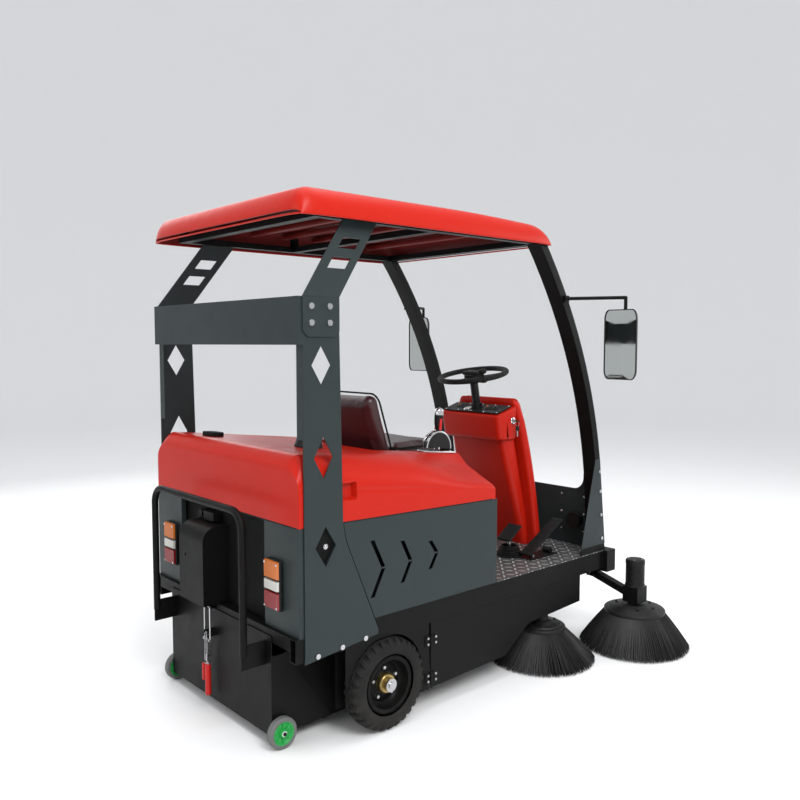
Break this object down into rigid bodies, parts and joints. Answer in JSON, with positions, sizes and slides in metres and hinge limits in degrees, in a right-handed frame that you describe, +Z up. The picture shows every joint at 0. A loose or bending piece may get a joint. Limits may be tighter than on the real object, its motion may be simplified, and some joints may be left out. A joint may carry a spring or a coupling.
{
  "type": "ride-on sweeper",
  "caption": "Ride-on sweeper with a roof: red rear cover and steering console, slate body panels, side brushes, roller brush, and a dust hopper that rolls out at the rear.",
  "frame": {"origin": "on the floor, at the middle of the machine seen from above", "axes": "+Z up, front towards -Y, the driver's right towards -X, rear and hopper towards +Y"},
  "size_m": [1.94, 2.2914, 2.045],
  "materials": {
    "amber": "clear amber plastic",
    "battery": "matt case",
    "black_frame": "satin powder coat",
    "black_plastic": "fine grain",
    "bristle": "dull nylon",
    "checker": "chequer pressed",
    "green": "moulded",
    "mirror_black": "fine grain",
    "red_shell": "glossy moulded plastic",
    "rubber": "matt",
    "slate": "satin paint",
    "tyre": "worn rubber",
    "vinyl": "vinyl with a wrap",
    "zinc": "zinc plated"
  },
  "bodies": {
    "machine": {"chassis_frame": "black_frame", "floor_plate": "checker", "body_panels": "slate", "bulkheads": "black_frame", "fan_box": "black_plastic", "rear_legs": "slate", "roof_struts": "slate", "crossbeam": "slate", "roof_frame": "black_frame", "roof_canopy": "red_shell", "front_pillars": "black_frame", "front_panel": "black_frame", "console": "red_shell", "dash_plate": "black_plastic", "steering_column": "black_plastic", "tail_lamps": "amber", "battery_pack": "battery", "fender_skirts": "black_frame", "frame_bolts": "zinc", "mirror_arms": "black_frame", "horn": "black_plastic", "pedal_base": "black_plastic", "brush_drives": "black_plastic"},
    "wheel_right": {"rear_wheel_right": "tyre"},
    "wheel_left": {"rear_wheel_left": "tyre"},
    "fork": {"front_fork": "black_frame"},
    "steered_wheel": {"front_wheel": "tyre"},
    "hand_wheel": {"steering_wheel": "rubber"},
    "roller": {"main_brush": "bristle"},
    "arm_right": {"brush_arm_right": "black_frame"},
    "arm_left": {"brush_arm_left": "black_frame"},
    "brush_front_right": {"side_brush_front_right": "bristle"},
    "brush_front_left": {"side_brush_front_left": "bristle"},
    "brush_mid_right": {"side_brush_mid_right": "bristle"},
    "brush_mid_left": {"side_brush_mid_left": "bristle"},
    "cover": {"rear_cover": "red_shell", "seat_cushion": "vinyl", "seat_back": "vinyl", "beacon": "amber", "lever_quadrant": "zinc"},
    "cap": {"tank_cap": "rubber"},
    "lever": {"hand_lever": "rubber"},
    "bin": {"hopper": "black_frame", "hopper_handle": "black_frame"},
    "castor_wheel_right": {"castor_right": "green"},
    "castor_wheel_left": {"castor_left": "green"},
    "latch": {"latch_handle": "zinc"},
    "hook": {"latch_hook": "zinc"},
    "accelerator": {"accelerator_pedal": "rubber"},
    "brake": {"brake_pedal": "rubber"},
    "key": {"ignition_key": "zinc"},
    "mirror_head_right": {"mirror_right": "mirror_black"},
    "mirror_head_left": {"mirror_left": "mirror_black"},
    "door_right": {"skirt_door_right": "black_frame"},
    "door_left": {"skirt_door_left": "black_frame"},
    "switch_1": {"rocker_1": "rubber"},
    "switch_2": {"rocker_2": "rubber"},
    "switch_3": {"rocker_3": "rubber"},
    "switch_4": {"rocker_4": "rubber"},
    "switch_5": {"rocker_5": "rubber"}
  },
  "joints": [
    {"name": "wheel_right_spin", "type": "hinge", "parent": "machine", "child": "wheel_right", "pos_m": [-0.545, 0.61825, 0.18], "axis": [1, 0, 0], "continuous": true},
    {"name": "wheel_left_spin", "type": "hinge", "parent": "machine", "child": "wheel_left", "pos_m": [0.545, 0.61825, 0.18], "axis": [1, 0, 0], "continuous": true},
    {"name": "fork_steer", "type": "hinge", "parent": "machine", "child": "fork", "pos_m": [0, -0.51175, 0.37], "axis": [0, 0, 1], "range_deg": [-45, 45]},
    {"name": "front_wheel_spin", "type": "hinge", "parent": "fork", "child": "steered_wheel", "pos_m": [0, -0.51175, 0.16], "axis": [1, 0, 0], "continuous": true},
    {"name": "steering_wheel_turn", "type": "hinge", "parent": "machine", "child": "hand_wheel", "pos_m": [0, -0.45275, 1.334], "axis": [0, 0.1771, 0.9842], "range_deg": [-270, 270]},
    {"name": "main_brush_spin", "type": "hinge", "parent": "machine", "child": "roller", "pos_m": [0, 0.28825, 0.165], "axis": [1, 0, 0], "continuous": true},
    {"name": "arm_lift_right", "type": "hinge", "parent": "machine", "child": "arm_right", "pos_m": [-0.47, -0.86175, 0.322], "axis": [0, 1, 0], "range_deg": [0, 12]},
    {"name": "arm_lift_left", "type": "hinge", "parent": "machine", "child": "arm_left", "pos_m": [0.47, -0.86175, 0.322], "axis": [0, -1, 0], "range_deg": [0, 12]},
    {"name": "front_brush_right_spin", "type": "hinge", "parent": "arm_right", "child": "brush_front_right", "pos_m": [-0.706, -0.88175, 0.185], "axis": [0, 0, 1], "continuous": true},
    {"name": "front_brush_left_spin", "type": "hinge", "parent": "arm_left", "child": "brush_front_left", "pos_m": [0.706, -0.88175, 0.185], "axis": [0, 0, -1], "continuous": true},
    {"name": "mid_brush_right_spin", "type": "hinge", "parent": "machine", "child": "brush_mid_right", "pos_m": [-0.505, -0.40175, 0.162], "axis": [0, 0, 1], "continuous": true},
    {"name": "mid_brush_left_spin", "type": "hinge", "parent": "machine", "child": "brush_mid_left", "pos_m": [0.505, -0.40175, 0.162], "axis": [0, 0, -1], "continuous": true},
    {"name": "cover_tilt", "type": "hinge", "parent": "machine", "child": "cover", "pos_m": [0, -0.02575, 0.823], "axis": [1, 0, 0], "range_deg": [0, 30]},
    {"name": "tank_cap_turn", "type": "hinge", "parent": "cover", "child": "cap", "pos_m": [0.285, 0.89225, 1.09486], "axis": [0, -0.1032, 0.9947], "range_deg": [0, 270]},
    {"name": "hand_lever_swing", "type": "hinge", "parent": "cover", "child": "lever", "pos_m": [-0.325, 0.12619, 1.03553], "axis": [1, 0, 0], "range_deg": [-30, 30]},
    {"name": "hopper_slide", "type": "slide", "parent": "machine", "child": "bin", "axis": [0, 1, 0], "range_m": [0, 0.55]},
    {"name": "castor_right_spin", "type": "hinge", "parent": "bin", "child": "castor_wheel_right", "pos_m": [-0.419, 1.01055, 0.06], "axis": [1, 0, 0], "continuous": true},
    {"name": "castor_left_spin", "type": "hinge", "parent": "bin", "child": "castor_wheel_left", "pos_m": [0.419, 1.01055, 0.06], "axis": [1, 0, 0], "continuous": true},
    {"name": "latch_swing", "type": "hinge", "parent": "bin", "child": "latch", "pos_m": [0.025, 1.07255, 0.33], "axis": [1, 0, 0], "range_deg": [0, 100]},
    {"name": "hook_swing", "type": "hinge", "parent": "latch", "child": "hook", "pos_m": [0.025, 1.07255, 0.305], "axis": [1, 0, 0], "range_deg": [-130, 0]},
    {"name": "accelerator_press", "type": "hinge", "parent": "machine", "child": "accelerator", "pos_m": [-0.4, -0.41175, 0.475], "axis": [1, 0, 0], "range_deg": [0, 18], "stiffness_Nm_per_rad": 20},
    {"name": "brake_press", "type": "hinge", "parent": "machine", "child": "brake", "pos_m": [-0.3, -0.40175, 0.471], "axis": [1, 0, 0], "range_deg": [0, 10], "stiffness_Nm_per_rad": 30},
    {"name": "key_turn", "type": "hinge", "parent": "machine", "child": "key", "pos_m": [-0.202, -0.52775, 1.106], "axis": [-1, 0, 0], "range_deg": [0, 90]},
    {"name": "mirror_right_turn", "type": "hinge", "parent": "machine", "child": "mirror_head_right", "pos_m": [-0.79, -0.62175, 1.6], "axis": [0, 0, 1], "range_deg": [-40, 40]},
    {"name": "mirror_left_turn", "type": "hinge", "parent": "machine", "child": "mirror_head_left", "pos_m": [0.69, -0.74775, 1.6], "axis": [0, 0, 1], "range_deg": [-40, 40]},
    {"name": "door_right_open", "type": "hinge", "parent": "machine", "child": "door_right", "pos_m": [-0.562, 0.38525, 0.216], "axis": [0, 0, -1], "range_deg": [0, 100]},
    {"name": "door_left_open", "type": "hinge", "parent": "machine", "child": "door_left", "pos_m": [0.562, 0.38525, 0.216], "axis": [0, 0, 1], "range_deg": [0, 100]},
    {"name": "rocker_1_press", "type": "hinge", "parent": "machine", "child": "switch_1", "pos_m": [-0.136, -0.48482, 1.16187], "axis": [1, 0, 0], "range_deg": [-6, 6]},
    {"name": "rocker_2_press", "type": "hinge", "parent": "machine", "child": "switch_2", "pos_m": [-0.108, -0.48482, 1.16187], "axis": [1, 0, 0], "range_deg": [-6, 6]},
    {"name": "rocker_3_press", "type": "hinge", "parent": "machine", "child": "switch_3", "pos_m": [-0.08, -0.48482, 1.16187], "axis": [1, 0, 0], "range_deg": [-6, 6]},
    {"name": "rocker_4_press", "type": "hinge", "parent": "machine", "child": "switch_4", "pos_m": [0.092, -0.48482, 1.16187], "axis": [1, 0, 0], "range_deg": [-6, 6]},
    {"name": "rocker_5_press", "type": "hinge", "parent": "machine", "child": "switch_5", "pos_m": [0.12, -0.48482, 1.16187], "axis": [1, 0, 0], "range_deg": [-6, 6]}
  ],
  "couplings": [
    {"joint": "steering_wheel_turn", "follows": "fork_steer", "ratio": 6},
    {"joint": "hook_swing", "follows": "latch_swing", "ratio": -1.3}
  ]
}
